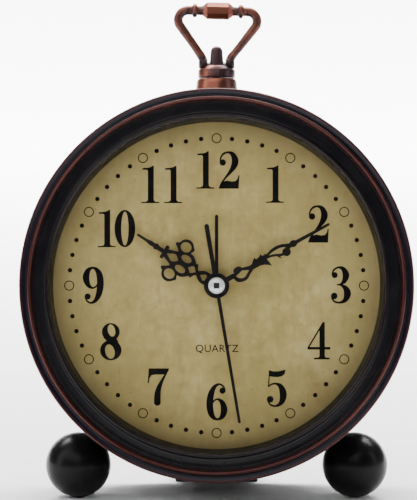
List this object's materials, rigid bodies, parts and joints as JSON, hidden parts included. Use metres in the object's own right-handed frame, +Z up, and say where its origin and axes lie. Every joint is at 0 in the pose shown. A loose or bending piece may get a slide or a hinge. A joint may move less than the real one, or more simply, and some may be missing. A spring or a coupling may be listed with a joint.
{
  "type": "alarm clock",
  "caption": "Round retro alarm clock: drum case on two ball feet and a rear foot, glazed dial, openwork hands, quartz gear train and a swinging bail handle.",
  "frame": {"origin": "centre of the clock's bounding box at its lowest level, on the table that the two ball feet and the rear foot stand on", "axes": "+Z up, +Y from the dial towards the rear cover, +X to the right of someone who reads the dial; the case axis lies in the YZ plane and its front end is raised by about five and a half degrees"},
  "size_m": [0.127, 0.0702, 0.1621],
  "materials": {
    "bezel": "gloss oil-rubbed bronze",
    "drum": "gloss oil-rubbed bronze",
    "glass": "clear, polished",
    "spacer": "matt black",
    "dial": "aged parchment print",
    "copper": "antique copper, satin",
    "foot_gloss": "gloss black enamel",
    "hands": "satin black",
    "cap": "polished",
    "black_plastic": "fine moulded texture",
    "grey_plastic": "satin",
    "white_plastic": "satin acetal",
    "natural_plastic": "satin acetal",
    "magnet": "bonded ferrite, matt",
    "steel": "zinc plated",
    "brass": "stamped",
    "winding": "enamelled copper wire",
    "circuit": "solder resist",
    "crystal_can": "polished",
    "cell_jacket": "gloss sleeve",
    "lead_red": "PVC insulation",
    "lead_black": "PVC insulation"
  },
  "bodies": {
    "case": {"alarm_contact_spring": "brass", "alarm_switch_contact": "brass", "bail_pin": "steel", "battery_cell": "cell_jacket", "battery_contact_negative": "steel", "battery_contact_positive": "steel", "battery_lead_black": "lead_black", "battery_lead_red": "lead_red", "case_drum": "drum", "circuit_board": "circuit", "coil_core": "steel", "crown_base": "copper", "crown_cap": "copper", "crown_screw": "steel", "dial_carrier": "natural_plastic", "dial_plate": "dial", "dial_ring": "spacer", "drive_coil": "winding", "foot_ball_left": "foot_gloss", "foot_ball_right": "foot_gloss", "foot_screw_left": "steel", "foot_screw_right": "steel", "foot_washer_left": "steel", "foot_washer_right": "steel", "front_bezel": "bezel", "glass_lens": "glass", "movement_front_plate": "white_plastic", "movement_middle_plate": "white_plastic", "movement_rear_plate": "white_plastic", "movement_screw_1": "steel", "movement_screw_2": "steel", "piezo_sounder": "brass", "quartz_crystal": "crystal_can", "rear_cover": "black_plastic", "rear_screw_1": "steel", "rear_screw_2": "steel", "rear_screw_3": "steel", "stator_plate": "steel"},
    "second_hand_group": {"second_hand": "hands", "second_hand_cap": "cap", "seconds_wheel": "white_plastic"},
    "rotor_group": {"rotor": "magnet"},
    "intermediate_group": {"intermediate_wheel": "natural_plastic"},
    "third_group": {"third_wheel": "natural_plastic"},
    "centre_group": {"centre_wheel": "brass"},
    "minute_hand_group": {"minute_hand": "hands", "minute_pipe": "brass"},
    "minute_works_group": {"minute_works_wheel": "natural_plastic"},
    "hour_hand_group": {"hour_hand": "hands", "hour_wheel": "natural_plastic"},
    "time_setter": {"time_set_shaft": "white_plastic", "time_set_knob": "black_plastic"},
    "alarm_hand_group": {"alarm_hand": "hands", "alarm_wheel": "white_plastic"},
    "alarm_idler_group": {"alarm_idler_wheel": "natural_plastic"},
    "alarm_setter": {"alarm_set_shaft": "white_plastic", "alarm_set_knob": "black_plastic"},
    "bail": {"bail_handle": "copper"},
    "battery_cover": {"battery_door": "black_plastic"},
    "alarm_switch": {"alarm_switch_slider": "grey_plastic"}
  },
  "joints": [
    {"name": "second_hand_turn", "type": "hinge", "parent": "case", "child": "second_hand_group", "pos_m": [0, -0.01824, 0.07067], "axis": [0, 0.9954, -0.0954], "continuous": true},
    {"name": "rotor_turn", "type": "hinge", "parent": "case", "child": "rotor_group", "pos_m": [0.00576, -0.01965, 0.05591], "axis": [0, 0.9954, -0.0954], "continuous": true},
    {"name": "intermediate_turn", "type": "hinge", "parent": "case", "child": "intermediate_group", "pos_m": [0, -0.01924, 0.06021], "axis": [0, 0.9954, -0.0954], "continuous": true},
    {"name": "third_turn", "type": "hinge", "parent": "case", "child": "third_group", "pos_m": [0, -0.01727, 0.08082], "axis": [0, 0.9954, -0.0954], "continuous": true},
    {"name": "centre_turn", "type": "hinge", "parent": "case", "child": "centre_group", "pos_m": [0, -0.01824, 0.07067], "axis": [0, 0.9954, -0.0954], "continuous": true},
    {"name": "minute_hand_turn", "type": "hinge", "parent": "case", "child": "minute_hand_group", "pos_m": [0, -0.01824, 0.07067], "axis": [0, 0.9954, -0.0954], "continuous": true},
    {"name": "minute_works_turn", "type": "hinge", "parent": "case", "child": "minute_works_group", "pos_m": [0.009, -0.01824, 0.07067], "axis": [0, 0.9954, -0.0954], "continuous": true},
    {"name": "hour_hand_turn", "type": "hinge", "parent": "case", "child": "hour_hand_group", "pos_m": [0, -0.01824, 0.07067], "axis": [0, 0.9954, -0.0954], "continuous": true},
    {"name": "time_set_turn", "type": "hinge", "parent": "case", "child": "time_setter", "pos_m": [0.018, -0.01824, 0.07067], "axis": [0, 0.9954, -0.0954], "continuous": true},
    {"name": "alarm_hand_turn", "type": "hinge", "parent": "case", "child": "alarm_hand_group", "pos_m": [0, -0.01824, 0.07067], "axis": [0, 0.9954, -0.0954], "continuous": true},
    {"name": "alarm_idler_turn", "type": "hinge", "parent": "case", "child": "alarm_idler_group", "pos_m": [-0.012, -0.01824, 0.07067], "axis": [0, 0.9954, -0.0954], "continuous": true},
    {"name": "alarm_set_turn", "type": "hinge", "parent": "case", "child": "alarm_setter", "pos_m": [-0.0192, -0.01824, 0.07067], "axis": [0, 0.9954, -0.0954], "continuous": true},
    {"name": "bail_swing", "type": "hinge", "parent": "case", "child": "bail", "pos_m": [0, 0.00466, 0.14191], "axis": [1, 0, 0], "range_deg": [-80, 80]},
    {"name": "battery_door_slide", "type": "slide", "parent": "case", "child": "battery_cover", "axis": [1, 0, 0], "range_m": [0, 0.05]},
    {"name": "alarm_switch_slide", "type": "slide", "parent": "case", "child": "alarm_switch", "axis": [1, 0, 0], "range_m": [0, 0.004]}
  ],
  "couplings": [
    {"joint": "rotor_turn", "follows": "second_hand_turn", "ratio": 30},
    {"joint": "intermediate_turn", "follows": "second_hand_turn", "ratio": -6},
    {"joint": "third_turn", "follows": "second_hand_turn", "ratio": -0.13333},
    {"joint": "centre_turn", "follows": "second_hand_turn", "ratio": 0.016667},
    {"joint": "minute_works_turn", "follows": "minute_hand_turn", "ratio": -0.33333},
    {"joint": "hour_hand_turn", "follows": "minute_hand_turn", "ratio": 0.083333},
    {"joint": "time_set_turn", "follows": "minute_hand_turn", "ratio": 1},
    {"joint": "alarm_idler_turn", "follows": "alarm_hand_turn", "ratio": -1.5},
    {"joint": "alarm_set_turn", "follows": "alarm_hand_turn", "ratio": 3}
  ]
}
